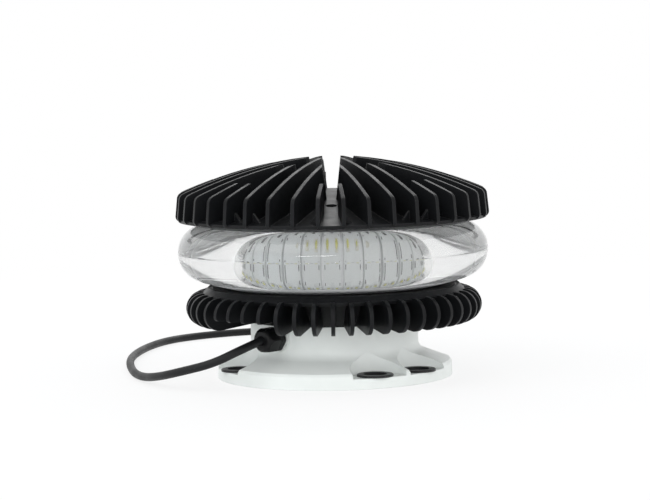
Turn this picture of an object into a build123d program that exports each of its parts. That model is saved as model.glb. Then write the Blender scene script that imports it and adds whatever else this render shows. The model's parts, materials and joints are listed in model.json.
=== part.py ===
from build123d import *
from math import cos, pi, radians, sin, sqrt, tan
import os

# Single-tier navigation lantern on a mounting flange. Millimetres, +Z up, the front is -Y.
# The origin is the centre of the flange's mounting face. Angles are in degrees from +X.

# Fits and clearances
fit_gap = 0.3
thread_gap = 0.1
seal_side_gap = 0.2

# Mounting flange and its bolt holes
bolt_circle = 200.0
shared_hole_angle = -157.5
bolt_to_rim = 15.0
bolt_to_column = 18.0
rim_height = 14.0
rim_draft = 0.6
rim_edge_chamfer = 1.8
flange_slope = 20.0
root_radius = 10.0
pocket_floor = 10.0
pocket_radius = 27.2
pocket_offset = 9.5
recess_inset = 4.0
recess_depth = 8.0
web_thickness = 8.0
rib_width = 5.0

# Insulating bushes in the bolt holes
bush_bore = 13.5
bush_sleeve = 27.0
bush_dish = 23.0
bush_dish_depth = 3.0
bush_collar = 34.5
bush_collar_height = 2.2
bush_short_of_face = 0.5

# Column
column_wall = 8.0
column_top = 56.0
boss_inset = 15.0
boss_radius = 8.0
boss_gap = 4.5
boss_count = 4
boss_start = 0.0

# Seal between column and lower heat sink
column_seal_width = 3.2
column_seal_height = 2.4

# Lower heat sink
lower_sink_height = 31.0
lower_body_overhang = 5.0
lower_flare_inset = 10.35
lower_flare_height = 24.0
spigot_depth = 4.0
spigot_wall = 12.0
driver_room_height = 18.0
driver_room_wall = 9.0
lead_hole = 16.0
ring_lip = 1.6
ring_slope = 45.0
ring_drop = 5.4
ring_edge = 3.0
lower_fin_count = 50
lower_fin_thickness = 3.6
lower_fin_inside_tips = 8.8
lower_fin_below_seat = 3.0
lower_fin_overhang = 3.2
short_fin_rise = 8.0
short_fin_corner = 4.0
short_fin_half_span = 12.0
fin_root_depth = 2.0

# Lens
lens_inside_tips = 2.0
lens_depth = 54.3
lens_nose_radius = 28.0
lens_height = 68.0
lens_flank = 33.0
lens_gasket_thickness = 1.5
lens_gasket_inset = 4.0

# LED core, boards and LEDs
facet_count = 32
core_gap = 11.0
core_wall = 13.0
pad_thickness = 0.5
board_thickness = 1.6
board_side_gap = 1.2
board_end_gap = 4.0
led_width = 2.8
led_length = 3.5
led_height = 0.9
led_pitch = 7.8
leds_per_board = 2
lead_slot_width = 12.0
lead_slot_height = 5.0
lead_angle = 110.0

# Top heat sink
tip_radius = 153.3
tip_lean = 2.7
tip_bottom_corner = 5.0
tip_top_corner = 7.0
tip_shoulder_rise = 21.8
tip_overlap = 4.0
plate_inside_tips = 3.3
plate_slope = 11.3
plate_rim_thickness = 3.0
plate_seat_margin = 4.15
dome_inner_radius = 24.0
dome_room_inset = 3.0
dome_skin = 9.0
crown_radius = 22.0
crown_slant = 10.0
crown_rise = 55.6
crown_mid_rise = 45.1
crown_end_inset = 9.3
crown_end_rise = 24.9
top_fin_thickness = 3.5
sector_count = 8
fin_pitch_angle = 9.0
side_fin_lean = 5.0
side_inner_radius = 52.0
stub_fin_lean = 1.1
stub_inner_radius = 117.0
stub_inner_slant = 5.0
channel_floor_half_width = 5.2
channel_draft = 6.9
gusset_inset = 13.0
gusset_width = 9.5
gusset_height = 12.0
gusset_thickness = 3.0

# Socket head screws: tie screws through the core and base screws through the column
screw_diameter = 6.0
screw_hole = 6.6
screw_head = 10.0
screw_head_height = 6.0
screw_socket = 5.0
screw_socket_depth = 3.0
hole_extra = 1.5
tie_inset = 6.5
tie_head_floor = 3.5
tie_thread_depth = 15.5
counterbore = 11.0
base_thread_depth = 10.6
washer_diameter = 12.0
washer_thickness = 1.4

# Driver in the column
driver_board_gap = 4.0
driver_board_thickness = 1.6
standoff_height = 8.0
standoff_flats = 5.5
standoff_inset = 8.0
board_screw_diameter = 3.0
board_screw_head = 5.6
board_screw_head_height = 2.2
capacitor_diameter = 10.0
capacitor_height = 16.0
capacitor_places = ((-14.0, 30.0), (0.0, 32.0), (14.0, 30.0))
inductor_diameter = 20.0
inductor_hole = 8.0
inductor_height = 9.0
inductor_places = ((26.0, 8.0), (26.0, -16.0))
chip_size = (8.0, 8.0, 2.5)
chip_places = ((-30.0, 20.0), (-30.0, 6.0), (4.0, 8.0), (4.0, -6.0))
terminal_place = (-3.0, -26.0)
terminal_depth = 10.0
terminal_height = 11.0
terminal_pitch = 6.0
terminal_hole = 3.4
terminal_hole_depth = 5.0
led_lead_count = 2

# Cable gland on the column
gland_angle = -130.0
gland_below_top = 12.2
gland_thread = 16.0
gland_pad = 2.0
gland_seat_radius = 13.4
gland_inner_pad = 4.0
gland_flats = 22.0
gland_washer_thickness = 1.2
gland_washer_diameter = 21.0
gland_hex_height = 5.0
gland_hex_chamfer = 0.8
gland_neck = 15.0
gland_neck_length = 12.0
gland_tail = 20.0
gland_bore = 8.8
gland_seal_cup = 12.6
gland_seal_depth = 8.0
gland_nut_length = 16.5
gland_nut_gap = 0.6
gland_running_gap = 0.08
gland_nut_hex_length = 9.0
gland_nut_nose = 17.0
gland_nut_crown = 0.8
gland_nut_mouth = 9.4
gland_locknut_height = 4.0
gland_relief_radius = 14.5

# Cable: the route on the surface, the coil, the tail and the bare cores
cable_diameter = 8.0
cable_core_count = 3
core_diameter = 2.0
core_pitch = 2.4
core_run = 12.0
core_arch = 12.0
core_bend = 4.0
cable_strip_back = 15.0
cable_route = (
    (-84.5, -98.0, 39.0),
    (-113.0, -109.5, 26.6),
    (-143.0, -96.5, 18.2),
    (-166.0, -71.0, 10.3),
    (-183.0, -40.0, 5.2),
    (-196.0, -6.0, 4.0),
    (-206.0, 48.0, 4.0),
    (-212.0, 104.0, 4.0),
    (-210.5, 156.0, 4.0),
    (-202.0, 212.0, 4.0),
    (-186.0, 262.0, 4.0),
    (-158.0, 296.0, 4.0),
    (-116.0, 325.0, 4.0),
    (-66.0, 338.0, 4.3),
)
coil_centre = (-20.0, 290.0)
coil_mid_radius = 44.0
coil_rows = 2
coil_layers = 2
tie_band_thickness = 1.2
tie_band_angle = 6.5
tie_band_count = 3
tail_route = (
    (27.0, 266.0, 12.0),
    (20.0, 243.0, 7.0),
    (5.0, 222.0, 4.0),
    (-16.0, 206.0, 4.0),
)
end_core_length = 26.0
ferrule_length = 9.0

# Sizes that follow from the ones above: the base from the bolt circle
bolt_radius = bolt_circle / 2
flange_radius = bolt_radius + bolt_to_rim
pocket_circle = bolt_radius + pocket_offset
column_radius = bolt_radius - bolt_to_column
column_bore = column_radius - column_wall
column_seal_radius = column_radius - column_wall / 2
recess_radius = column_radius - recess_inset
boss_circle = column_radius - boss_inset
web_top = recess_depth + web_thickness
hole_angles = sorted(
    {shared_hole_angle + 90 * i for i in range(4)} | {shared_hole_angle + 120 * i for i in range(3)}
)

# The lower heat sink from the column's top
lens_seat = column_top + lower_sink_height
lower_body_radius = column_radius + lower_body_overhang
lower_fin_reach = tip_radius - lower_fin_inside_tips
lower_fin_top = lens_seat - lower_fin_below_seat
lower_fin_bottom = column_top - lower_fin_overhang
short_fin_bottom = column_top + short_fin_rise
cover_radius = column_bore - fit_gap
driver_roof = column_top + driver_room_height
driver_room_radius = boss_circle - driver_room_wall
ring_top = lens_seat + ring_lip

# The lens from the fin tips; its corner is where the flank meets the flat end
lens_reach = tip_radius - lens_inside_tips
lens_bore = lens_reach - lens_depth
lens_nose_centre = lens_reach - lens_nose_radius
lens_tangent_radius = lens_nose_centre + lens_nose_radius * sin(radians(lens_flank))
lens_tangent_rise = lens_nose_radius * cos(radians(lens_flank))
lens_corner = lens_tangent_radius - (lens_height / 2 - lens_tangent_rise) / tan(radians(lens_flank))
lens_bottom = lens_seat + lens_gasket_thickness
lens_top = lens_bottom + lens_height
lens_middle = (lens_bottom + lens_top) / 2
top_seat = lens_top + lens_gasket_thickness
lens_gasket_inner = lens_bore + lens_gasket_inset
lens_gasket_outer = lens_corner - lens_gasket_inset
lower_flare_radius = lens_corner - lower_flare_inset

# The LED core inside the lens
core_apothem = lens_bore - core_gap
core_inner_radius = core_apothem - core_wall
tie_circle = core_apothem - tie_inset
board_back = core_apothem + pad_thickness
board_front = board_back + board_thickness
facet_angle = 360 / facet_count
board_width = 2 * board_front * tan(radians(facet_angle / 2)) - 2 * board_side_gap

# The top heat sink from the fin tips and its seat on the lens
plate_radius = tip_radius - plate_inside_tips
plate_seat_radius = lens_corner + plate_seat_margin
plate_underside = top_seat - (plate_radius - plate_seat_radius) * tan(radians(plate_slope))
dome_room_radius = core_inner_radius - dome_room_inset
gusset_radius = plate_radius - gusset_inset
tip_shoulder = top_seat + tip_shoulder_rise
crown_height = top_seat + crown_rise
crown_end_radius = tip_radius - crown_end_inset
crown_mid_radius = (crown_radius + crown_end_radius) / 2
crown_mid_height = top_seat + crown_mid_rise
crown_end_height = top_seat + crown_end_rise
sector_angle = 360 / sector_count
channel_angles = [sector_angle * i - 90 for i in range(sector_count)]

# The driver and the gland in the column
driver_board_radius = driver_room_radius - driver_board_gap
standoff_circle = driver_board_radius - standoff_inset
pcb_bottom = web_top + standoff_height
pcb_top = pcb_bottom + driver_board_thickness
gland_height = column_top - gland_below_top
gland_seat = column_radius + gland_pad
gland_inner_seat = column_bore - gland_inner_pad
gland_flange_radius = gland_seat + gland_washer_thickness
gland_mouth = gland_hex_height + gland_neck_length
cable_inner_end = gland_inner_seat - cable_strip_back
cable_exit_radius = gland_flange_radius + gland_hex_height + gland_nut_gap + gland_nut_length
hex_corner = gland_flats * (1 / sqrt(3) - 0.5) - 0.2


def polar(radius, angle):
    return radius * cos(radians(angle)), radius * sin(radians(angle))


def ring(outer_radius, inner_radius, low, high):
    """A plain ring between two heights."""
    sketch = Circle(outer_radius) - Circle(inner_radius)
    return extrude(Pos(0, 0, low) * sketch, high - low)


def disc(radius, low, high):
    return extrude(Pos(0, 0, low) * Circle(radius), high - low)


def turned(*lines):
    """A solid of revolution from the lines of its half section in the XZ plane."""
    return revolve(make_face(Plane.XZ * Curve(list(lines))), Axis.Z)


def hexagon(across_flats, low, high):
    corner = across_flats / sqrt(3)
    points = [polar(corner, 60 * i + 30) for i in range(6)]
    return extrude(Pos(0, 0, low) * make_face(Polyline(*points, close=True)), high - low)


def nearest_vertex(shape, place):
    """The vertex of an XZ section closest to (x, z)."""
    return min(shape.vertices(), key=lambda v: (v.X - place[0]) ** 2 + (v.Z - place[1]) ** 2)


def slab(section, thickness):
    """A plate of even thickness, with the XZ section in its middle plane."""
    return Pos(0, thickness / 2, 0) * extrude(section, thickness)


def base_profile():
    """Flange, sloping top, root fillet and column, as one half section."""
    slope = tan(radians(flange_slope))
    rim_radius = flange_radius - rim_draft
    root_height = rim_height + (rim_radius - column_radius) * slope
    corners = Polyline(
        (0, 0),
        (flange_radius, 0),
        (rim_radius, rim_height),
        (column_radius, root_height),
        (column_radius, column_top),
        (0, column_top),
        close=True,
    )
    section = make_face(Plane.XZ * corners)
    section = chamfer(nearest_vertex(section, (rim_radius, rim_height)), rim_edge_chamfer)
    return fillet(nearest_vertex(section, (column_radius, root_height)), root_radius)


def gland_frame(radius):
    """Plane square to the gland's axis at a distance from the lantern's axis, +Z outward."""
    x, y = polar(radius, gland_angle)
    outward = (cos(radians(gland_angle)), sin(radians(gland_angle)), 0)
    return Plane(origin=(x, y, gland_height), x_dir=(0, 0, 1), z_dir=outward)


def gland_piece(shape, radius):
    return gland_frame(radius) * shape


def base_casting():
    body = revolve(base_profile(), Axis.Z)
    for angle in hole_angles:
        x, y = polar(pocket_circle, angle)
        body -= Pos(x, y, pocket_floor) * extrude(Circle(pocket_radius), column_top)
    seat = gland_piece(extrude(Circle(gland_seat_radius), gland_seat - gland_inner_seat), gland_inner_seat)
    column = disc(flange_radius, web_top, column_top)
    body += seat & column
    body -= disc(column_bore, web_top, column_top)
    inner_seat = extrude(Circle(gland_seat_radius), column_bore - gland_inner_seat + 1)
    body += gland_piece(inner_seat, gland_inner_seat) & column
    boss_top = column_top - boss_gap
    boss = disc(boss_radius, web_top, boss_top)
    for x, y in base_screw_places():
        body += Pos(x, y, 0) * boss & disc(column_radius - fit_gap, web_top, boss_top)
    body -= disc(recess_radius, 0, recess_depth)
    rib_length = 2 * recess_radius + rib_width
    rib = Pos(0, 0, recess_depth / 2) * Box(rib_length, rib_width, recess_depth)
    body += Rot(0, 0, boss_start + 45) * rib
    body += Rot(0, 0, boss_start - 45) * rib
    for x, y in base_screw_places():
        body -= Pos(x, y, 0) * extrude(Circle(screw_hole / 2), boss_top)
    for angle in hole_angles:
        x, y = polar(bolt_radius, angle)
        body -= Pos(x, y, 0) * extrude(Circle(bush_sleeve / 2 + fit_gap / 2), rim_height)
    thread_hole = extrude(Circle(gland_thread / 2 + fit_gap), gland_seat)
    body -= gland_piece(thread_hole, gland_inner_seat / 2)
    groove = column_seal_width / 2 + seal_side_gap
    seal_low = column_top - column_seal_height
    body -= ring(column_seal_radius + groove, column_seal_radius - groove, seal_low, column_top)
    return body


def mounting_bushes():
    collar_top = pocket_floor + bush_collar_height
    bush = disc(bush_sleeve / 2, bush_short_of_face, collar_top)
    bush += disc(bush_collar / 2, pocket_floor, collar_top)
    bush = chamfer(bush.edges().group_by(Axis.Z)[-1], bush_collar_height / 4)
    bush -= disc(bush_bore / 2, 0, collar_top)
    bush -= disc(bush_dish / 2, collar_top - bush_dish_depth, collar_top)
    return [Pos(*polar(bolt_radius, angle), 0) * bush for angle in hole_angles]


def column_seal():
    half = column_seal_width / 2
    return ring(
        column_seal_radius + half, column_seal_radius - half, column_top - column_seal_height, column_top
    )


def lower_fin(short):
    """One D-shaped fin in the XZ plane. Those above the gland end higher."""
    centre = lower_fin_reach - (lower_fin_top - lower_fin_bottom) / 2
    middle = (lower_fin_top + lower_fin_bottom) / 2
    root = lower_body_radius - fin_root_depth
    nose = ThreePointArc((centre, lower_fin_bottom), (lower_fin_reach, middle), (centre, lower_fin_top))
    sides = Polyline(
        (centre, lower_fin_top),
        (root, lower_fin_top),
        (root, column_top + fin_root_depth),
        (centre, lower_fin_bottom),
    )
    section = make_face(Plane.XZ * Curve([nose, sides]))
    if short:
        keep = Pos(0, short_fin_bottom) * Rectangle(
            2 * lower_fin_reach, lower_fin_top, align=(Align.CENTER, Align.MIN)
        )
        section = section & (Plane.XZ * keep)
        corner = section.vertices().group_by(Axis.Z)[0].sort_by(Axis.X)[-1]
        section = fillet(corner, short_fin_corner)
    return slab(section, lower_fin_thickness)


def lower_heatsink():
    lens_edge = lens_corner + fit_gap
    ring_outer = lens_edge + ring_drop / tan(radians(ring_slope))
    flare_top = column_top + lower_flare_height
    body = turned(
        Polyline(
            (0, column_top),
            (lower_body_radius, column_top),
            (lower_flare_radius, flare_top),
            (ring_outer - ring_edge, flare_top),
            (ring_outer, ring_top - ring_drop),
            (lens_edge, ring_top),
            (lens_edge, lens_seat),
            (0, lens_seat),
            close=True,
        )
    )
    full = lower_fin(False)
    short = lower_fin(True)
    step = 360 / lower_fin_count
    fins = []
    for i in range(lower_fin_count):
        from_gland = (i * step - 90 - gland_angle + 180) % 360 - 180
        fins.append(Rot(0, 0, i * step - 90) * (short if abs(from_gland) < short_fin_half_span else full))
    body = body.fuse(*fins)
    body += ring(cover_radius, cover_radius - spigot_wall, column_top - spigot_depth, column_top)
    relief = extrude(Circle(gland_relief_radius), column_bore - driver_room_radius + fit_gap)
    body -= gland_piece(relief, driver_room_radius - fit_gap)
    body -= disc(driver_room_radius, column_top, driver_roof)
    body -= disc(lead_hole / 2, driver_roof, lens_seat)
    hole = screw_diameter / 2 + thread_gap
    depth = tie_thread_depth + hole_extra
    for angle in channel_angles:
        body -= Pos(*polar(tie_circle, angle), lens_seat - depth) * extrude(Circle(hole), depth)
    depth = spigot_depth + base_thread_depth + hole_extra
    for x, y in base_screw_places():
        body -= Pos(x, y, column_top - spigot_depth) * extrude(Circle(hole), depth)
    return body


def lens():
    """Clear ring: straight bore, flat ends, conical flanks and a rounded nose."""
    low = (lens_tangent_radius, lens_middle - lens_tangent_rise)
    high = (lens_tangent_radius, lens_middle + lens_tangent_rise)
    return turned(
        Polyline(
            high,
            (lens_corner, lens_top),
            (lens_bore, lens_top),
            (lens_bore, lens_bottom),
            (lens_corner, lens_bottom),
            low,
        ),
        ThreePointArc(low, (lens_reach, lens_middle), high),
    )


def lens_gasket(low):
    return ring(lens_gasket_outer, lens_gasket_inner, low, low + lens_gasket_thickness)


def facet_ring(apothem, low, high):
    """A many-sided prism with the middle of a facet on +X."""
    corner = apothem / cos(radians(facet_angle / 2))
    points = [polar(corner, (i + 0.5) * facet_angle) for i in range(facet_count)]
    return extrude(Pos(0, 0, low) * make_face(Polyline(*points, close=True)), high - low)


def led_core():
    body = facet_ring(core_apothem, lens_seat, top_seat)
    body -= disc(core_inner_radius, lens_seat, top_seat)
    for angle in channel_angles:
        x, y = polar(tie_circle, angle)
        body -= Pos(x, y, lens_seat) * extrude(Circle(screw_hole / 2), top_seat - lens_seat)
    slot = Box(core_apothem, lead_slot_width, lead_slot_height, align=(Align.MIN, Align.CENTER, Align.MIN))
    return body - Rot(0, 0, lead_angle) * Pos(core_inner_radius / 2, 0, lens_seat) * slot


def facet_copies(shape):
    """The shape stands on +X; one copy goes to the middle of each facet."""
    return [Rot(0, 0, i * facet_angle) * shape for i in range(facet_count)]


def thermal_pads():
    height = top_seat - lens_seat - 2 * board_end_gap
    pad = Box(pad_thickness, board_width - 1, height)
    return facet_copies(Pos(core_apothem + pad_thickness / 2, 0, (lens_seat + top_seat) / 2) * pad)


def led_boards():
    height = top_seat - lens_seat - 2 * board_end_gap
    board = Box(board_thickness, board_width, height)
    return facet_copies(Pos(board_back + board_thickness / 2, 0, (lens_seat + top_seat) / 2) * board)


def leds():
    led = Pos(board_front + led_height / 2, 0, lens_middle) * Box(led_height, led_width, led_length)
    first = -led_pitch * (leds_per_board - 1) / 2
    found = []
    for i in range(leds_per_board):
        found += facet_copies(Pos(0, first + i * led_pitch, 0) * led)
    return found


def along(radius, offset):
    """Distance along a fin whose plane passes the axis at the given offset."""
    return sqrt(radius**2 - offset**2)


def crown_at(radius):
    """Height of the crown's arc at a radius."""
    x1, z1 = crown_radius, crown_height
    x2, z2 = crown_mid_radius, crown_mid_height
    x3, z3 = crown_end_radius, crown_end_height
    twice_area = 2 * (x1 * (z2 - z3) + x2 * (z3 - z1) + x3 * (z1 - z2))
    s1, s2, s3 = x1**2 + z1**2, x2**2 + z2**2, x3**2 + z3**2
    centre_x = (s1 * (z2 - z3) + s2 * (z3 - z1) + s3 * (z1 - z2)) / twice_area
    centre_z = (s1 * (x3 - x2) + s2 * (x1 - x3) + s3 * (x2 - x1)) / twice_area
    reach = sqrt((x1 - centre_x) ** 2 + (z1 - centre_z) ** 2)
    return centre_z + sqrt(reach**2 - (radius - centre_x) ** 2)


def floor_at(radius):
    """Height of the plate's upper face at a radius."""
    edge = plate_underside + plate_rim_thickness
    return edge + (plate_radius - max(radius, dome_inner_radius)) * tan(radians(plate_slope))


def top_fin(tip_angle, lean, inner_radius, inner_slant):
    """A fin from its inner end to its tip. Lean turns its plane from the radial one."""
    offset = tip_radius * sin(radians(lean))
    middle_radius = (inner_radius + crown_end_radius) / 2
    sunk = plate_rim_thickness / 2
    rim_radius = plate_radius - tip_overlap
    inner = along(inner_radius, offset)
    foot = inner - inner_slant
    rim = along(rim_radius, offset)
    crown_end = (along(crown_end_radius, offset), crown_end_height)
    shoulder = (along(tip_radius - tip_lean, offset), tip_shoulder)
    outer = (along(tip_radius, offset), plate_underside)
    crown = ThreePointArc(
        (inner, crown_at(inner_radius)),
        (along(middle_radius, offset), crown_at(middle_radius)),
        crown_end,
    )
    rest = Polyline(
        crown_end,
        shoulder,
        outer,
        (rim, plate_underside),
        (rim, floor_at(rim_radius) - sunk),
        (foot, floor_at(foot) - sunk),
        (inner, crown_at(inner_radius)),
    )
    section = make_face(Plane.XZ * Curve([crown, rest]))
    section = fillet(nearest_vertex(section, outer), tip_bottom_corner)
    section = fillet(nearest_vertex(section, shoulder), tip_top_corner)
    blank = extrude(section, top_fin_thickness / 2, both=True)
    return Rot(0, 0, tip_angle - lean) * Pos(0, offset, 0) * blank


def gusset(tip_angle, lean):
    """A small triangular web from a fin's +Y side down to the plate."""
    offset = tip_radius * sin(radians(lean))
    base = floor_at(gusset_radius) - plate_rim_thickness / 2
    outline = Polyline((0, base), (gusset_width, base), (0, base + gusset_height), close=True)
    web = extrude(Plane.YZ * make_face(outline), gusset_thickness)
    return Rot(0, 0, tip_angle - lean) * Pos(along(gusset_radius, offset), offset, 0) * web


def channel_cutter(angle):
    """One straight V-shaped channel across the whole crown."""
    high = crown_height + plate_rim_thickness
    spread = tan(radians(channel_draft))
    wide = channel_floor_half_width + (high - floor_at(0)) * spread
    narrow = channel_floor_half_width - (floor_at(0) - plate_underside) * spread
    outline = Polyline(
        (-narrow, plate_underside), (narrow, plate_underside), (wide, high), (-wide, high), close=True
    )
    cutter = extrude(Plane.YZ * make_face(outline), 2 * tip_radius)
    return Rot(0, 0, angle) * Pos(-tip_radius, 0, 0) * cutter


def top_plate():
    """Conical plate with a flat underside on the lens, hollow under its dome."""
    apex = floor_at(0)
    roof = floor_at(dome_room_radius) - dome_skin
    return turned(
        Polyline(
            (0, apex),
            (dome_inner_radius, apex),
            (plate_radius, plate_underside + plate_rim_thickness),
            (plate_radius, plate_underside),
            (plate_seat_radius, top_seat),
            (dome_room_radius, top_seat),
            (dome_room_radius, roof),
            (dome_inner_radius, apex - dome_skin),
            (0, apex - dome_skin),
            close=True,
        )
    )


def top_heatsink():
    half = sector_angle / 2
    side_lean = side_fin_lean - fin_pitch_angle
    long_fin = top_fin(0, 0, crown_radius, crown_slant)
    side_fin = top_fin(-fin_pitch_angle, side_lean, side_inner_radius, 0)
    side_fin += gusset(-fin_pitch_angle, side_lean)
    stub_fin = top_fin(fin_pitch_angle / 2, -stub_fin_lean, stub_inner_radius, stub_inner_slant)
    stub_fin += gusset(fin_pitch_angle / 2, -stub_fin_lean)
    channels = [channel_cutter(-half), channel_cutter(half)]
    inner_fins = [(fin - channels[0]) - channels[1] for fin in (long_fin, side_fin)]
    inner_fins.append(mirror(inner_fins[1], Plane.XZ))
    stubs = [stub_fin, mirror(stub_fin, Plane.XZ)]
    body = top_plate()
    hole = extrude(Circle(screw_hole / 2), tie_head_floor)
    head_room = Pos(0, 0, tie_head_floor) * extrude(Circle(counterbore / 2), crown_rise)
    for angle in channel_angles:
        body -= Pos(*polar(tie_circle, angle), top_seat) * hole
        body -= Pos(*polar(tie_circle, angle), top_seat) * head_room
    fins = [Rot(0, 0, angle + half) * fin for angle in channel_angles for fin in inner_fins]
    fins += [Rot(0, 0, angle) * fin for angle in channel_angles for fin in stubs]
    return body.fuse(*fins)


def socket_screw(head_seat, length):
    """A screw that stands head up with its head's underside at head_seat."""
    screw = disc(screw_diameter / 2, head_seat - length, head_seat)
    head = disc(screw_head / 2, head_seat, head_seat + screw_head_height)
    top = head_seat + screw_head_height
    return screw + head - hexagon(screw_socket, top - screw_socket_depth, top)


def tie_screws():
    length = top_seat + tie_head_floor - lens_seat + tie_thread_depth
    screw = socket_screw(top_seat + tie_head_floor, length)
    return [Pos(*polar(tie_circle, angle), 0) * screw for angle in channel_angles]


def base_screw_places():
    return [polar(boss_circle, boss_start + i * 360 / boss_count) for i in range(boss_count)]


def base_screws():
    seat = recess_depth - washer_thickness
    length = column_top + base_thread_depth - seat
    screw = Rot(180, 0, 0) * socket_screw(0, length)
    return [Pos(x, y, seat) * screw for x, y in base_screw_places()]


def base_washers():
    washer = ring(washer_diameter / 2, screw_hole / 2, recess_depth - washer_thickness, recess_depth)
    return [Pos(x, y, 0) * washer for x, y in base_screw_places()]


def driver_board():
    board = disc(driver_board_radius, pcb_bottom, pcb_top)
    hole = disc(board_screw_diameter / 2 + thread_gap, pcb_bottom, pcb_top)
    for x, y in standoff_places():
        board -= Pos(x, y, 0) * hole
    return board


def standoff_places():
    return [polar(standoff_circle, boss_start + (i + 0.5) * 360 / boss_count) for i in range(boss_count)]


def board_standoffs():
    post = hexagon(standoff_flats, web_top, pcb_bottom)
    post -= disc(board_screw_diameter / 2 + thread_gap, web_top + 1, pcb_bottom)
    return [Pos(x, y, 0) * post for x, y in standoff_places()]


def board_screws():
    screw = disc(board_screw_diameter / 2, pcb_bottom - standoff_height / 2, pcb_top)
    head = disc(board_screw_head / 2, pcb_top, pcb_top + board_screw_head_height)
    return [Pos(x, y, 0) * (screw + head) for x, y in standoff_places()]


def driver_capacitors():
    can = disc(capacitor_diameter / 2, pcb_top, pcb_top + capacitor_height)
    return [Pos(x, y, 0) * can for x, y in capacitor_places]


def driver_inductors():
    coil = ring(inductor_diameter / 2, inductor_hole / 2, pcb_top, pcb_top + inductor_height)
    return [Pos(x, y, 0) * coil for x, y in inductor_places]


def driver_chips():
    return [Pos(x, y, pcb_top + chip_size[2] / 2) * Box(*chip_size) for x, y in chip_places]


def terminal_ways():
    """The wire entries of the terminal block: supply cores first, then the LED leads."""
    x, y = terminal_place
    count = cable_core_count + led_lead_count
    first = x - terminal_pitch * (count - 1) / 2
    return [(first + i * terminal_pitch, y) for i in range(count)]


def terminal_block():
    ways = terminal_ways()
    length = terminal_pitch * len(ways)
    x, y = terminal_place
    body = Pos(x, y, pcb_top + terminal_height / 2) * Box(length, terminal_depth, terminal_height)
    for way_x, way_y in ways:
        entry = extrude(Circle(terminal_hole / 2), terminal_hole_depth)
        body -= Pos(way_x, way_y, pcb_top + terminal_height - terminal_hole_depth) * entry
    return body


def wire(points, bend):
    """A core along straight runs joined by tangent arcs."""
    path = FilletPolyline(*points, radius=bend)
    start = Plane(origin=path @ 0, z_dir=path % 0)
    return sweep(start * Circle(core_diameter / 2), path)


def supply_cores():
    inner = gland_frame(cable_inner_end)
    entry_top = pcb_top + terminal_height
    cores = []
    for i, (x, y) in enumerate(terminal_ways()[:cable_core_count]):
        across = (i - (cable_core_count - 1) / 2) * core_pitch
        start = inner.from_local_coords(Vector(0, across, 0))
        bend = inner.from_local_coords(Vector(0, across, -core_run))
        over = Vector(x, y, entry_top + core_arch)
        foot = Vector(x, y, entry_top - terminal_hole_depth)
        cores.append(wire([start, bend, over, foot], core_bend))
    return cores


def led_leads():
    entry_top = pcb_top + terminal_height
    outward = Vector(*polar(1, lead_angle), 0)
    sideways = Vector(*polar(1, lead_angle + 90), 0)
    height = lens_seat + lead_slot_height / 2
    leads = []
    for i, (x, y) in enumerate(terminal_ways()[cable_core_count:]):
        aside = sideways * ((led_lead_count - 1) / 2 - i) * core_pitch
        foot = Vector(x, y, entry_top - terminal_hole_depth)
        rise = Vector(x, y, driver_roof - lead_hole)
        low = aside + Vector(0, 0, driver_roof)
        high = aside + Vector(0, 0, height)
        end = aside + outward * (core_apothem - 1) + Vector(0, 0, height)
        leads.append(wire([foot, rise, low, high, end], core_bend))
    return leads


def gland_washer():
    washer = ring(gland_washer_diameter / 2, gland_thread / 2 + thread_gap, 0, gland_washer_thickness)
    return gland_piece(washer, gland_seat)


def gland_body():
    """Tail thread, hexagon and neck, with the cup that holds the sealing bush."""
    body = hexagon(gland_flats, 0, gland_hex_height)
    body = body & chamfered_disc(gland_flats / 2 + hex_corner, 0, gland_hex_height, gland_hex_chamfer)
    body += disc(gland_thread / 2, -gland_tail, 0)
    body += disc(gland_neck / 2, gland_hex_height, gland_mouth)
    body -= disc(gland_bore / 2, -gland_tail, gland_mouth)
    body -= disc(gland_seal_cup / 2, gland_mouth - gland_seal_depth, gland_mouth)
    return gland_piece(body, gland_flange_radius)


def chamfered_disc(radius, low, high, size):
    """A disc whose two rims are cut at 45 degrees."""
    body = disc(radius, low, high)
    return chamfer(body.edges(), size)


def gland_seal():
    seal = ring(
        gland_seal_cup / 2 - thread_gap,
        cable_diameter / 2 + thread_gap / 2,
        gland_mouth - gland_seal_depth + thread_gap,
        gland_mouth,
    )
    return gland_piece(seal, gland_flange_radius)


def gland_locknut():
    nut = hexagon(gland_flats, -gland_locknut_height, 0)
    nut = nut & chamfered_disc(gland_flats / 2 + hex_corner, -gland_locknut_height, 0, gland_hex_chamfer)
    nut -= disc(gland_thread / 2 + thread_gap, -gland_locknut_height, 0)
    return gland_piece(nut, gland_inner_seat)


def gland_nut():
    """Domed clamping nut: a hexagon that runs into a rounded nose with the cable's mouth."""
    low = gland_hex_height + gland_nut_gap
    high = low + gland_nut_length
    corner = gland_flats / 2 + hex_corner
    outside = turned(
        Polyline(
            (0, high),
            (0, low),
            (corner - gland_hex_chamfer, low),
            (corner, low + gland_hex_chamfer),
            (corner, low + gland_nut_hex_length),
        ),
        ThreePointArc(
            (corner, low + gland_nut_hex_length),
            (
                (corner + gland_nut_nose / 2) / 2 + gland_nut_crown,
                (low + gland_nut_hex_length + high) / 2 + gland_nut_crown,
            ),
            (gland_nut_nose / 2, high),
        ),
        Line((gland_nut_nose / 2, high), (0, high)),
    )
    nut = outside & hexagon(gland_flats, low, high)
    nut -= disc(gland_neck / 2 + gland_running_gap, low, gland_mouth + gland_nut_gap)
    nut -= disc(gland_nut_mouth / 2, low, high)
    return gland_piece(nut, gland_flange_radius)


def cable_entry():
    length = cable_exit_radius - cable_inner_end
    return gland_piece(extrude(Circle(cable_diameter / 2), length), cable_inner_end)


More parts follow.
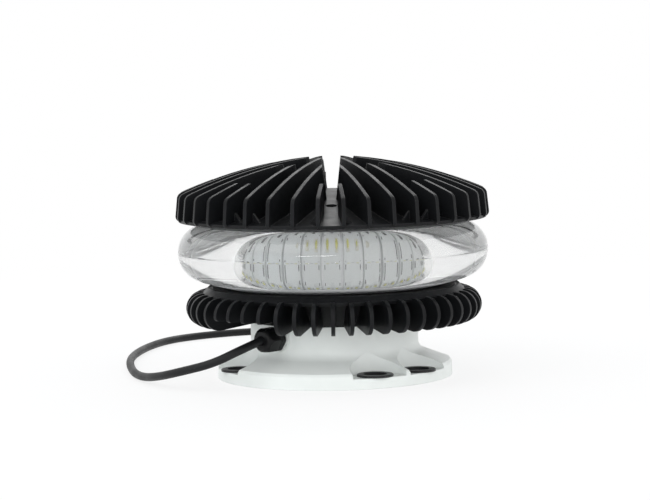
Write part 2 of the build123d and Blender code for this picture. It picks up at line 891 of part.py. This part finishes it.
def arc_radii(points):
    """Each corner's radius: 0.45 of the shorter run over the tangent of half the turn."""
    radii = []
    for before, here, after in zip(points, points[1:], points[2:]):
        run_in, run_out = here - before, after - here
        half_turn = radians(run_in.get_angle(run_out)) / 2
        radii.append(0.45 * min(run_in.length, run_out.length) / tan(half_turn))
    return radii


def cord_tube(name, points):
    """A round cable along straight runs and tangent arcs."""
    radii = arc_radii(points)
    path = FilletPolyline(*points, radius=radii)
    start = Plane(origin=path @ 0, z_dir=path % 0)
    tube = sweep(start * Circle(cable_diameter / 2), path)
    expected = pi * (cable_diameter / 2) ** 2 * path.length
    print(name, "length", round(path.length, 1), "volume ratio", round(tube.volume / expected, 5))
    print(name, "radii", [round(radius, 1) for radius in radii])
    return tube


def coil_outer_turn():
    return coil_mid_radius + (coil_rows - 1) * cable_diameter / 2


def cable():
    start = gland_frame(cable_exit_radius).origin
    x, y = coil_centre
    end = Vector(x, y + coil_outer_turn(), tie_band_thickness + cable_diameter / 2)
    return cord_tube("cable", [start] + [Vector(*point) for point in cable_route] + [end])


def cable_coil():
    half_width = coil_rows * cable_diameter / 2
    height = coil_layers * cable_diameter
    body = ring(coil_mid_radius + half_width, coil_mid_radius - half_width, 0, height)
    body = chamfer(body.edges(), cable_diameter / 4)
    return Pos(*coil_centre, tie_band_thickness) * body


def coil_ties():
    """Flat bands round the coil's section, curved with the coil."""
    width = coil_rows * cable_diameter
    height = coil_layers * cable_diameter
    inner = Rectangle(width, height)
    outer = Rectangle(width + 2 * tie_band_thickness, height + 2 * tie_band_thickness)
    outer = fillet(outer.vertices(), tie_band_thickness)
    middle = Pos(coil_mid_radius, tie_band_thickness + height / 2)
    band = revolve(Plane.XZ * (middle * (outer - inner)), Axis.Z, tie_band_angle)
    spacing = 360 / tie_band_count
    return [Pos(*coil_centre, 0) * Rot(0, 0, 45 + i * spacing) * band for i in range(tie_band_count)]


def cable_tail():
    x, y = coil_centre
    high = tie_band_thickness + (coil_layers - 0.5) * cable_diameter
    start = Vector(x + coil_outer_turn(), y, high)
    return cord_tube("cable_tail", [start] + [Vector(*point) for point in tail_route])


def end_core_line(i):
    """One bare core at the tail's end: straight out, down to the surface and fanned."""
    end = Vector(*tail_route[-1])
    onward = (end - Vector(*tail_route[-2])).normalized()
    sideways = Vector(-onward.Y, onward.X, 0)
    across = (i - (cable_core_count - 1) / 2) * core_pitch
    drop = Vector(0, 0, core_diameter / 2 - end.Z)
    start = end + sideways * across
    out = start + onward * end_core_length / 4
    low = end + sideways * across * 1.5 + onward * end_core_length * 5 / 8 + drop
    tip = end + sideways * across * 2 + onward * end_core_length + drop
    return start, out, low, tip


def end_cores():
    return [wire(end_core_line(i), core_bend) for i in range(cable_core_count)]


def end_ferrules():
    sleeves = []
    for i in range(cable_core_count):
        low, tip = end_core_line(i)[-2:]
        plane = Plane(origin=tip, z_dir=tip - low)
        sleeves.append(plane * extrude(Circle(core_diameter / 2), ferrule_length))
    return sleeves


def write_node(name, shapes):
    """One STEP file per node; a node of several solids is written as one compound."""
    solids = []
    for shape in shapes if isinstance(shapes, (list, tuple)) else [shapes]:
        solids.extend(shape.solids())
    shape = solids[0] if len(solids) == 1 else Compound(children=solids)
    shape.label = name
    export_step(shape, os.path.join("parts", name + ".step"))


def build():
    os.makedirs("parts", exist_ok=True)
    nodes = {
        "base_casting": base_casting,
        "mounting_bushes": mounting_bushes,
        "base_screws": base_screws,
        "base_washers": base_washers,
        "column_seal": column_seal,
        "lower_heatsink": lower_heatsink,
        "lower_lens_gasket": lambda: lens_gasket(lens_seat),
        "lens": lens,
        "upper_lens_gasket": lambda: lens_gasket(lens_top),
        "top_heatsink": top_heatsink,
        "tie_screws": tie_screws,
        "led_core": led_core,
        "thermal_pads": thermal_pads,
        "led_boards": led_boards,
        "leds": leds,
        "driver_board": driver_board,
        "board_standoffs": board_standoffs,
        "board_screws": board_screws,
        "driver_capacitors": driver_capacitors,
        "driver_inductors": driver_inductors,
        "driver_chips": driver_chips,
        "terminal_block": terminal_block,
        "supply_cores": supply_cores,
        "led_leads": led_leads,
        "gland_washer": gland_washer,
        "gland_body": gland_body,
        "gland_seal": gland_seal,
        "gland_locknut": gland_locknut,
        "gland_nut": gland_nut,
        "cable_entry": cable_entry,
        "cable": cable,
        "cable_coil": cable_coil,
        "coil_ties": coil_ties,
        "cable_tail": cable_tail,
        "end_cores": end_cores,
        "end_ferrules": end_ferrules,
    }
    for name, make in nodes.items():
        write_node(name, make())


if __name__ == "__main__":
    build()
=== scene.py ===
import json
from math import cos, pi, radians, sin, tan

import bmesh
import bpy
from mathutils import Matrix, Quaternion, Vector


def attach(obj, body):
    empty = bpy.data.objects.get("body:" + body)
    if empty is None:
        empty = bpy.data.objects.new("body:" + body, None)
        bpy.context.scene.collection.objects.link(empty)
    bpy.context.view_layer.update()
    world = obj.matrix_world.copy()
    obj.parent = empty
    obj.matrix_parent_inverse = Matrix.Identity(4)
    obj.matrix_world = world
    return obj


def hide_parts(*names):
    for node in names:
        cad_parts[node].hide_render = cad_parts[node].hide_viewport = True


# Navigation lantern: looks, cable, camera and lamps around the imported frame. Metres, +Z up, front -Y.

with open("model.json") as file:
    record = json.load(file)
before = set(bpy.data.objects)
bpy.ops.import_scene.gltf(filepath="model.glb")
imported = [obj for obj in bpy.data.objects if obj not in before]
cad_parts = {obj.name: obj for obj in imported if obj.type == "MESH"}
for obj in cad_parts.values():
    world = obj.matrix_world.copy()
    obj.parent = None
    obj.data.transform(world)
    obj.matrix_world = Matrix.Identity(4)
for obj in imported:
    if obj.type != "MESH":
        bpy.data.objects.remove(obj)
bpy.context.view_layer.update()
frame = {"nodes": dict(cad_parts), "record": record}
BODY = "lantern"

# Camera, from the flange, the lens and the fins in the photograph
image_width = 650
sensor_width = 36.0
focal_pixels = 2243.5
camera_yaw = -0.704
camera_elevation = 4.719
camera_distance = 2.1937
camera_roll = 1.129
camera_far_clip = 20
target_side = -0.007756
target_height = 0.12216

# Cable route, coil and tail, as in the part's source
cable_diameter = 0.008
gland_angle = -130.0
gland_height = 0.0438
cable_exit_radius = 0.1073
cable_route = (
    (-0.0845, -0.0980, 0.0390),
    (-0.1130, -0.1095, 0.0266),
    (-0.1430, -0.0965, 0.0182),
    (-0.1660, -0.0710, 0.0103),
    (-0.1830, -0.0400, 0.0052),
    (-0.1960, -0.0060, 0.0040),
    (-0.2060, 0.0480, 0.0040),
    (-0.2120, 0.1040, 0.0040),
    (-0.2105, 0.1560, 0.0040),
    (-0.2020, 0.2120, 0.0040),
    (-0.1860, 0.2620, 0.0040),
    (-0.1580, 0.2960, 0.0040),
    (-0.1160, 0.3250, 0.0040),
    (-0.0660, 0.3380, 0.0043),
)
tail_route = (
    (0.0270, 0.2660, 0.0120),
    (0.0200, 0.2430, 0.0070),
    (0.0050, 0.2220, 0.0040),
    (-0.0160, 0.2060, 0.0040),
)
coil_centre = (-0.020, 0.290)
coil_outer_turn = 0.048
coil_inner_turn = 0.040
coil_low = 0.0052
coil_high = 0.0132
coil_turns = 4.25
coil_start_angle = 90
points_per_turn = 16
cable_round_steps = 8
cable_length_steps = 12
cable_order = 3

# Lens: bore, reach and seats as in the part's source, with the fuller nose that the photograph shows
lens_bore = 0.097
lens_reach = 0.1513
lens_nose_radius = 0.0277
lens_flank = 15.0
lens_bottom = 0.0885
lens_top = 0.1565
lens_middle = (lens_bottom + lens_top) / 2
lens_steps = 256
nose_steps = 24
sharp_angle = 30

# Parting line round the nose, and how far from its middle the lens is polished
parting_height = 0.0003
parting_rise = 0.00008
ground_beyond = 0.0275

# LED boards, as in the part's source, and the small parts on them
facet_count = 32
first_facet_angle = -90
board_face = 0.0881
led_face = 0.0890
led_spacing = 0.0078
led_level = 0.1225
dome_radius = 0.0013
dome_depth = 0.0006
dome_segments = 16
dome_rings = 10
chip_size = (0.0009, 0.0022, 0.0060)
chip_level = 0.1115
resistor_size = (0.0004, 0.0006, 0.0014)
resistor_places = (
    (0.0, 0.1225),
    (0.0, 0.1255),
    (0.0062, 0.1180),
    (-0.0062, 0.1180),
    (0.0026, 0.1330),
)
block_edge_share = 0.15
block_edge_steps = 2

# Coats: low and high colour, roughness range, specular level and peel scale, and radius of the edges
base_look = (0.8, 0.825, 0.795), (0.84, 0.865, 0.835), (0.3, 0.42), 0.4, 1100
base_edge = 0.0008
heatsink_look = (0.0065, 0.007, 0.0077), (0.009, 0.0095, 0.0105), (0.32, 0.44), 0.13, 1800
heatsink_edge = 0.0007
# Painted edge highlight of the heatsink coat: a lighter colour along its edges, standing in for light caught
# by their rounding, with a higher specular level there
painted_edge_highlight = (0.012, 0.013, 0.0145)
edge_specular = 0.38

# Moulded and painted pieces: low and high colour, roughness range and perhaps a specular level
moulded_looks = {
    "ground_seat": ((0.9, 0.91, 0.91), (0.94, 0.95, 0.95), (0.8, 0.9)),
    "phosphor": ((0.7, 0.68, 0.06), (0.8, 0.78, 0.12), (0.15, 0.25)),
    "bush": ((0.008, 0.008, 0.009), (0.014, 0.014, 0.015), (0.35, 0.5)),
    "seal": ((0.01, 0.01, 0.01), (0.016, 0.016, 0.016), (0.55, 0.7)),
    "pad": ((0.3, 0.32, 0.34), (0.36, 0.38, 0.4), (0.6, 0.75)),
    "led_board": ((0.8, 0.83, 0.83), (0.86, 0.89, 0.89), (0.3, 0.45)),
    "led": ((0.72, 0.71, 0.6), (0.8, 0.79, 0.68), (0.3, 0.4)),
    "driver_board": ((0.01, 0.11, 0.04), (0.02, 0.15, 0.06), (0.3, 0.45)),
    "capacitor": ((0.01, 0.012, 0.03), (0.02, 0.022, 0.05), (0.3, 0.4)),
    "inductor": ((0.1, 0.05, 0.02), (0.16, 0.09, 0.04), (0.4, 0.6)),
    "chip": ((0.01, 0.01, 0.01), (0.018, 0.018, 0.018), (0.5, 0.6)),
    "terminal": ((0.03, 0.15, 0.06), (0.05, 0.2, 0.08), (0.4, 0.5)),
    "core_sleeve": ((0.06, 0.06, 0.22), (0.09, 0.09, 0.3), (0.35, 0.5)),
    "gland": ((0.002, 0.0022, 0.0025), (0.004, 0.0042, 0.0046), (0.25, 0.38), 0.2),
    "cable_jacket": ((0.004, 0.0045, 0.005), (0.007, 0.0075, 0.0085), (0.42, 0.55), 0.3),
    "tie": ((0.01, 0.01, 0.01), (0.015, 0.015, 0.015), (0.4, 0.5)),
}
moulded_specular = 0.4
moulded_grain = 2200
moulded_edge = 0.0004

# Bare metal: low and high colour and roughness range
metal_looks = {
    "stainless": ((0.52, 0.52, 0.51), (0.62, 0.62, 0.61), (0.25, 0.4)),
    "core_metal": ((0.7, 0.71, 0.72), (0.78, 0.79, 0.8), (0.35, 0.5)),
    "ferrule": ((0.6, 0.6, 0.58), (0.7, 0.7, 0.68), (0.3, 0.45)),
}
metal_edge = 0.0004

# Patterns: their scales, and the strength and depth of the relief
pattern_detail = 4.0
pattern_roughness = 0.55
pattern_middle = (0.35, 0.65)
coat_drift_scale = 22
coat_gloss_scale = 60
coat_peel_detail = 3
coat_relief = (0.25, 0.0002)
metal_drift_scale = 80
metal_gloss_scale = 300
metal_grain = 900
metal_relief = (0.15, 0.0001)

# Edges: samples of the rounded normal, and its lean, as a cosine, where the painted edge highlight starts
# and where it is full
edge_samples = 6
highlight_from = 0.95
highlight_full = 0.75

# Acrylic of the lens
acrylic_index = 1.49
acrylic_tint = (0.94, 0.945, 0.942, 1)
acrylic_milk = (0.86, 0.87, 0.865, 1)
acrylic_haze = 0.08
ripple_scale = 9
ripple_detail = 1
ripple_relief = (0.05, 0.0004)

# Sky: tint, and strength at the horizon and overhead
sky_tint = (0.96, 0.98, 1.0, 1)
sky_horizon = 1.4
sky_overhead = 0.7

# Floor: its shadow fades from near to far, as the share of plain white grows
floor_reach = 6.0
floor_drop = 0.0002
floor_grey = 0.9
shadow_near = 0.3
shadow_far = 1.3
white_near = 0.8
white_far = 1.0

# Lamps: place, width and height, power and colour
lamp_target = (0, 0, 0.12)
neutral = (1, 1, 1)
cool = (0.8, 0.92, 1.0)
lamps = {
    "key": ((-1.1, -0.9, 1.7), (1.6, 1.2), 7.2, neutral),
    "fill": ((1.6, -1.6, 0.9), (2.2, 1.8), 5.4, neutral),
    "front": ((0.4, -2.9, 0.7), (2.4, 1.2), 1.2, neutral),
    "side": ((-1.9, -1.3, 0.45), (1.8, 0.9), 3.6, cool),
    "strip": ((-0.455, -2.24, 1.02), (1.2, 0.05), 4, neutral),
    "back": ((0.2, 1.5, 1.3), (1.6, 0.6), 7, neutral),
}


def polar(radius, angle):
    return radius * cos(radians(angle)), radius * sin(radians(angle))


def add_object(name, data):
    thing = bpy.data.objects.new(name, data)
    bpy.context.scene.collection.objects.link(thing)
    return thing


def add_camera():
    data = bpy.data.cameras.new("camera")
    data.sensor_fit = "HORIZONTAL"
    data.sensor_width = sensor_width
    data.lens = focal_pixels / image_width * sensor_width
    data.clip_end = camera_far_clip
    camera = add_object("camera", data)
    turn = Matrix.Rotation(-radians(camera_yaw), 3, "Z")
    tilt = radians(camera_elevation)
    target = turn @ Vector((target_side, 0, target_height))
    away = Vector((0, -camera_distance * cos(tilt), camera_distance * sin(tilt)))
    camera.location = target + turn @ away
    look = (target - camera.location).to_track_quat("-Z", "Y")
    roll = Quaternion((0, 0, 1), -radians(camera_roll))
    camera.rotation_mode = "QUATERNION"
    camera.rotation_quaternion = look @ roll
    bpy.context.scene.camera = camera


# Cable
def coil_points():
    """Turns of the coil: out to in on the lower layer, then in to out on the upper one."""
    cx, cy = coil_centre
    points = []
    for i in range(round(coil_turns * points_per_turn) + 1):
        turn = i / points_per_turn
        radius = coil_outer_turn if turn < 1 or turn >= 3 else coil_inner_turn
        height = coil_low if turn < 2 else coil_high
        x, y = polar(radius, coil_start_angle - 360 * turn)
        points.append((cx + x, cy + y, height))
    return points


def add_cable():
    exit_point = (*polar(cable_exit_radius, gland_angle), gland_height)
    points = [exit_point, *cable_route, *coil_points(), *tail_route]
    curve = bpy.data.curves.new("cable_jacket", "CURVE")
    curve.dimensions = "3D"
    curve.bevel_depth = cable_diameter / 2
    curve.bevel_resolution = cable_round_steps
    curve.use_fill_caps = True
    curve.resolution_u = cable_length_steps
    spline = curve.splines.new("NURBS")
    spline.points.add(len(points) - 1)
    for point, place in zip(spline.points, points):
        point.co = (*place, 1)
    spline.order_u = cable_order
    spline.use_endpoint_u = True
    return add_object("cable_jacket", curve), exit_point


# Node helpers
def opaque(colour):
    return (*colour, 1)


def grey(value):
    return (value, value, value, 1)


def new_material(name):
    material = bpy.data.materials.new(name)
    material.use_nodes = True
    material.node_tree.nodes.clear()
    return material, material.node_tree


def add_node(tree, kind, operation=None, **inputs):
    """A node with its operation and its inputs by name, with _ for a space."""
    node = tree.nodes.new(kind)
    if operation:
        node.operation = operation
    for name, value in inputs.items():
        node.inputs[name.replace("_", " ")].default_value = value
    return node


def show(tree, socket, kind="ShaderNodeOutputMaterial"):
    """The socket is what the surface, or the sky, looks like."""
    tree.links.new(socket, add_node(tree, kind).inputs["Surface"])


def blend(tree, factor, first, second):
    """Shader first where the factor is 0, shader second where it is 1."""
    node = add_node(tree, "ShaderNodeMixShader")
    if isinstance(factor, float):
        node.inputs["Fac"].default_value = factor
    else:
        tree.links.new(factor, node.inputs["Fac"])
    tree.links.new(first, node.inputs[1])
    tree.links.new(second, node.inputs[2])
    return node.outputs["Shader"]


def calculate(tree, operation, first, second):
    node = add_node(tree, "ShaderNodeMath", operation)
    tree.links.new(first, node.inputs[0])
    tree.links.new(second, node.inputs[1])
    return node.outputs[0]


def spread(tree, source, low, high, start=0.0, end=1.0):
    """The source, from start to end, as a number from low to high."""
    node = add_node(tree, "ShaderNodeMapRange", From_Min=start, From_Max=end, To_Min=low, To_Max=high)
    tree.links.new(source, node.inputs["Value"])
    return node.outputs["Result"]


def noise(tree, scale, detail=pattern_detail):
    place = add_node(tree, "ShaderNodeTexCoord")
    node = add_node(tree, "ShaderNodeTexNoise", Scale=scale, Detail=detail, Roughness=pattern_roughness)
    tree.links.new(place.outputs["Object"], node.inputs["Vector"])
    return node.outputs["Fac"]


def ramp(tree, source, low, high):
    """Colour low to colour high over the middle of the source's range."""
    node = add_node(tree, "ShaderNodeValToRGB")
    for stop, position, colour in zip(node.color_ramp.elements, pattern_middle, (low, high)):
        stop.position = position
        stop.color = colour
    tree.links.new(source, node.inputs["Fac"])
    return node.outputs["Color"]


def rounded_normal(tree, radius):
    bevel = add_node(tree, "ShaderNodeBevel", Radius=radius)
    bevel.samples = edge_samples
    return bevel.outputs["Normal"]


def relief(tree, source, strength_and_depth, edge_radius=0.0):
    """Relief from the source, over edges that look rounded if they have a radius."""
    strength, depth = strength_and_depth
    node = add_node(tree, "ShaderNodeBump", Strength=strength, Distance=depth)
    tree.links.new(source, node.inputs["Height"])
    if edge_radius:
        tree.links.new(rounded_normal(tree, edge_radius), node.inputs["Normal"])
    return node.outputs["Normal"]


def edge_mask(tree, radius):
    """0 on flat faces and up to 1 along edges, where the rounded normal leans from the true one."""
    geometry = add_node(tree, "ShaderNodeNewGeometry")
    lean = add_node(tree, "ShaderNodeVectorMath", "DOT_PRODUCT")
    tree.links.new(rounded_normal(tree, radius), lean.inputs[0])
    tree.links.new(geometry.outputs["Normal"], lean.inputs[1])
    return spread(tree, lean.outputs["Value"], 0.0, 1.0, highlight_from, highlight_full)


# Materials
def mottled(name, low, high, roughness, drift_scale, gloss_scale):
    """A surface with faint colour drift and uneven gloss."""
    material, tree = new_material(name)
    shader = add_node(tree, "ShaderNodeBsdfPrincipled")
    show(tree, shader.outputs["BSDF"])
    colour = ramp(tree, noise(tree, drift_scale), opaque(low), opaque(high))
    tree.links.new(colour, shader.inputs["Base Color"])
    gloss = ramp(tree, noise(tree, gloss_scale), grey(roughness[0]), grey(roughness[1]))
    tree.links.new(gloss, shader.inputs["Roughness"])
    return material, tree, shader


def coated(name, low, high, roughness, specular, peel_scale, edge_radius):
    """A sprayed or moulded skin with a fine orange peel."""
    material, tree, shader = mottled(name, low, high, roughness, coat_drift_scale, coat_gloss_scale)
    shader.inputs["Specular IOR Level"].default_value = specular
    peel = noise(tree, peel_scale, coat_peel_detail)
    tree.links.new(relief(tree, peel, coat_relief, edge_radius), shader.inputs["Normal"])
    return material


def paint_edge_highlight(material, edge_radius, colour, specular):
    """Painted highlight along the edges of a coated material: a lighter colour where light would catch their
    rounding, and glossier there.
    """
    tree = material.node_tree
    shader = next(node for node in tree.nodes if node.type == "BSDF_PRINCIPLED")
    mask = edge_mask(tree, edge_radius)
    mix = add_node(tree, "ShaderNodeMix")
    mix.data_type = "RGBA"
    tree.links.new(mask, mix.inputs[0])
    tree.links.new(shader.inputs["Base Color"].links[0].from_socket, mix.inputs[6])
    mix.inputs[7].default_value = opaque(colour)
    tree.links.new(mix.outputs[2], shader.inputs["Base Color"])
    plain = shader.inputs["Specular IOR Level"].default_value
    tree.links.new(spread(tree, mask, plain, specular), shader.inputs["Specular IOR Level"])


def base_coat():
    return coated("base_coat", *base_look, base_edge)


def heatsink_coat():
    material = coated("heatsink_coat", *heatsink_look, heatsink_edge)
    # Painted highlight: a lighter colour along the heatsink's edges, standing in for light caught by their
    # rounding
    paint_edge_highlight(material, heatsink_edge, painted_edge_highlight, edge_specular)
    return material


def moulded(name, low, high, roughness, specular=moulded_specular):
    return coated(name, low, high, roughness, specular, moulded_grain, moulded_edge)


def metal(name, low, high, roughness):
    material, tree, shader = mottled(name, low, high, roughness, metal_drift_scale, metal_gloss_scale)
    shader.inputs["Metallic"].default_value = 1.0
    tree.links.new(relief(tree, noise(tree, metal_grain), metal_relief, metal_edge), shader.inputs["Normal"])
    return material


def clear_lens():
    """Clear acrylic with a slight milkiness from its thick section."""
    material, tree = new_material("clear_lens")
    shader = add_node(tree, "ShaderNodeBsdfPrincipled", Base_Color=acrylic_tint, Roughness=0.0)
    shader.inputs["IOR"].default_value = acrylic_index
    shader.inputs["Transmission Weight"].default_value = 1.0
    ripple = noise(tree, ripple_scale, ripple_detail)
    tree.links.new(relief(tree, ripple, ripple_relief), shader.inputs["Normal"])
    milk = add_node(tree, "ShaderNodeBsdfDiffuse", Color=acrylic_milk)
    show(tree, blend(tree, acrylic_haze, shader.outputs["BSDF"], milk.outputs["BSDF"]))
    return material


def make_materials():
    materials = {name: moulded(name, *look) for name, look in moulded_looks.items()}
    materials |= {name: metal(name, *look) for name, look in metal_looks.items()}
    return materials | {
        "base_coat": base_coat(),
        "heatsink_coat": heatsink_coat(),
        "clear_lens": clear_lens(),
    }


# Surroundings
def seen(tree):
    """1 for rays straight from the camera, mirrored or refracted, 0 for rays that light the object."""
    path = add_node(tree, "ShaderNodeLightPath")
    mirrored = calculate(tree, "MAXIMUM", path.outputs["Is Camera Ray"], path.outputs["Is Glossy Ray"])
    return calculate(tree, "MAXIMUM", mirrored, path.outputs["Is Transmission Ray"])


def floor_material():
    """White as the camera sees it, with the object's shadow near its middle only."""
    material, tree = new_material("floor_white")
    place = add_node(tree, "ShaderNodeTexCoord")
    distance = add_node(tree, "ShaderNodeVectorMath", "LENGTH")
    tree.links.new(place.outputs["Object"], distance.inputs[0])
    share = spread(tree, distance.outputs["Value"], white_near, white_far, shadow_near, shadow_far)
    diffuse = add_node(tree, "ShaderNodeBsdfDiffuse", Color=grey(floor_grey))
    glow = add_node(tree, "ShaderNodeEmission", Color=grey(1.0))
    factor = calculate(tree, "MULTIPLY", seen(tree), share)
    show(tree, blend(tree, factor, diffuse.outputs["BSDF"], glow.outputs["Emission"]))
    return material


def add_floor():
    mesh = bpy.data.meshes.new("floor")
    corners = [(x * floor_reach, y * floor_reach, 0) for x, y in ((-1, -1), (1, -1), (1, 1), (-1, 1))]
    mesh.from_pydata(corners, [], [(0, 1, 2, 3)])
    mesh.materials.append(floor_material())
    floor = add_object("floor", mesh)
    floor.location.z = -floor_drop


def add_world():
    """White as the camera sees it, and a soft sky for the light on the object."""
    world = bpy.data.worlds.new("studio")
    world.use_nodes = True
    tree = world.node_tree
    tree.nodes.clear()
    direction = add_node(tree, "ShaderNodeTexCoord")
    split = add_node(tree, "ShaderNodeSeparateXYZ")
    tree.links.new(direction.outputs["Generated"], split.inputs["Vector"])
    soft = add_node(tree, "ShaderNodeBackground", Color=sky_tint)
    strength = spread(tree, split.outputs["Z"], sky_horizon, sky_overhead)
    tree.links.new(strength, soft.inputs["Strength"])
    white = add_node(tree, "ShaderNodeBackground", Color=grey(1.0), Strength=1.0)
    both = blend(tree, seen(tree), soft.outputs["Background"], white.outputs["Background"])
    show(tree, both, "ShaderNodeOutputWorld")
    bpy.context.scene.world = world


def add_lamp(name, place, size, power, colour):
    data = bpy.data.lights.new(name, "AREA")
    data.shape = "RECTANGLE"
    data.size, data.size_y = size
    data.energy = power
    data.color = colour
    lamp = add_object(name, data)
    lamp.location = place
    lamp.rotation_mode = "QUATERNION"
    lamp.rotation_quaternion = (Vector(lamp_target) - Vector(place)).to_track_quat("-Z", "Y")


# Lens
def lens_outline():
    """Half section of the lens, anticlockwise from the foot of its bore."""
    nose_centre = lens_reach - lens_nose_radius
    slope = radians(lens_flank)
    flank_start = nose_centre + lens_nose_radius * sin(slope)
    flank_rise = (lens_top - lens_bottom) / 2 - lens_nose_radius * cos(slope)
    corner = flank_start - flank_rise / tan(slope)
    ridge = parting_height / lens_nose_radius
    angles = [ridge + (pi / 2 - slope - ridge) * i / nose_steps for i in range(nose_steps + 1)]
    below = [(lens_nose_radius, -angle) for angle in reversed(angles)]
    above = [(lens_nose_radius, angle) for angle in angles]
    nose = [*below, (lens_nose_radius + parting_rise, 0), *above]
    points = [(nose_centre + r * cos(angle), lens_middle + r * sin(angle)) for r, angle in nose]
    foot = [(lens_bore, lens_bottom), (corner, lens_bottom)]
    head = [(corner, lens_top), (lens_bore, lens_top)]
    return [*foot, *points, *head]


def turned_mesh(name, outline, steps):
    """A closed outline turned about Z, smooth except at its sharp corners."""
    shape = bmesh.new()
    rings = []
    for i in range(steps):
        angle = 360 * i / steps
        rings.append([shape.verts.new((*polar(r, angle), z)) for r, z in outline])
    for here, there in zip(rings, rings[1:] + rings[:1]):
        for j in range(len(outline)):
            k = (j + 1) % len(outline)
            face = shape.faces.new((here[j], there[j], there[k], here[k]))
            face.smooth = True
    bmesh.ops.recalc_face_normals(shape, faces=shape.faces)
    for edge in shape.edges:
        if edge.calc_face_angle(0) > radians(sharp_angle):
            edge.smooth = False
    mesh = bpy.data.meshes.new(name)
    shape.to_mesh(mesh)
    shape.free()
    return mesh


def add_lens(clear, ground):
    """The lens is polished all round, except where it is ground towards its seats."""
    piece = add_object("lens_clear", turned_mesh("lens_clear", lens_outline(), lens_steps))
    piece.data.materials.append(clear)
    piece.data.materials.append(ground)
    for face in piece.data.polygons:
        if abs(face.center.z - lens_middle) > ground_beyond:
            face.material_index = 1
    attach(piece, BODY)
    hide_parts("lens")


# LED boards
def facet_piece(name, shape, material):
    """The shape, modelled on a board that faces +X, repeated on every board."""
    mesh = bpy.data.meshes.new(name)
    shape.to_mesh(mesh)
    shape.free()
    ring = bmesh.new()
    for i in range(facet_count):
        start = len(ring.verts)
        ring.from_mesh(mesh)
        ring.verts.ensure_lookup_table()
        turn = Matrix.Rotation(radians(360 / facet_count * i + first_facet_angle), 4, "Z")
        bmesh.ops.transform(ring, matrix=turn, verts=ring.verts[start:])
    ring.to_mesh(mesh)
    ring.free()
    piece = add_object(name, mesh)
    piece.data.materials.append(material)
    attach(piece, BODY)


def add_block(shape, size, side, level):
    """A small moulded block with eased edges, flat on the board's face."""
    place = Matrix.Translation((board_face + size[0] / 2, side, level))
    scaled = place @ Matrix.Diagonal((*size, 1))
    block = bmesh.ops.create_cube(shape, size=1.0, matrix=scaled)
    edges = list(dict.fromkeys(edge for vert in block["verts"] for edge in vert.link_edges))
    offset = min(size) * block_edge_share
    bmesh.ops.bevel(shape, geom=edges, offset=offset, segments=block_edge_steps, affect="EDGES")


def add_dome(shape, side):
    """The flat dome of one LED."""
    place = Matrix.Translation((led_face, side, led_level))
    flat = place @ Matrix.Diagonal((dome_depth / dome_radius, 1, 1, 1))
    bmesh.ops.create_uvsphere(
        shape, u_segments=dome_segments, v_segments=dome_rings, radius=dome_radius, matrix=flat
    )


def add_board_parts(materials):
    """Phosphor domes on the LEDs, and a driver chip and resistors on each board."""
    domes = bmesh.new()
    for side in (-led_spacing / 2, led_spacing / 2):
        add_dome(domes, side)
    for face in domes.faces:
        face.smooth = True
    facet_piece("led_domes", domes, materials["phosphor"])
    blocks = bmesh.new()
    add_block(blocks, chip_size, 0, chip_level)
    for side, level in resistor_places:
        add_block(blocks, resistor_size, side, level)
    facet_piece("board_parts", blocks, materials["chip"])


def dress_nodes(materials):
    """Each CAD node takes the material of its slot."""
    for part in frame["record"]["subparts"]:
        node = frame["nodes"][part["node"]]
        node.data.materials.clear()
        node.data.materials.append(materials[part["material_slot"]])


add_camera()
cable, cable_exit = add_cable()
materials = make_materials()
cable.data.materials.append(materials["cable_jacket"])
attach(cable, BODY)
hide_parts("cable", "cable_coil", "cable_tail")
dress_nodes(materials)
add_board_parts(materials)
add_lens(materials["clear_lens"], materials["ground_seat"])
add_world()
add_floor()
for name, settings in lamps.items():
    add_lamp(name, *settings)
bpy.context.scene.view_settings.view_transform = "Standard"
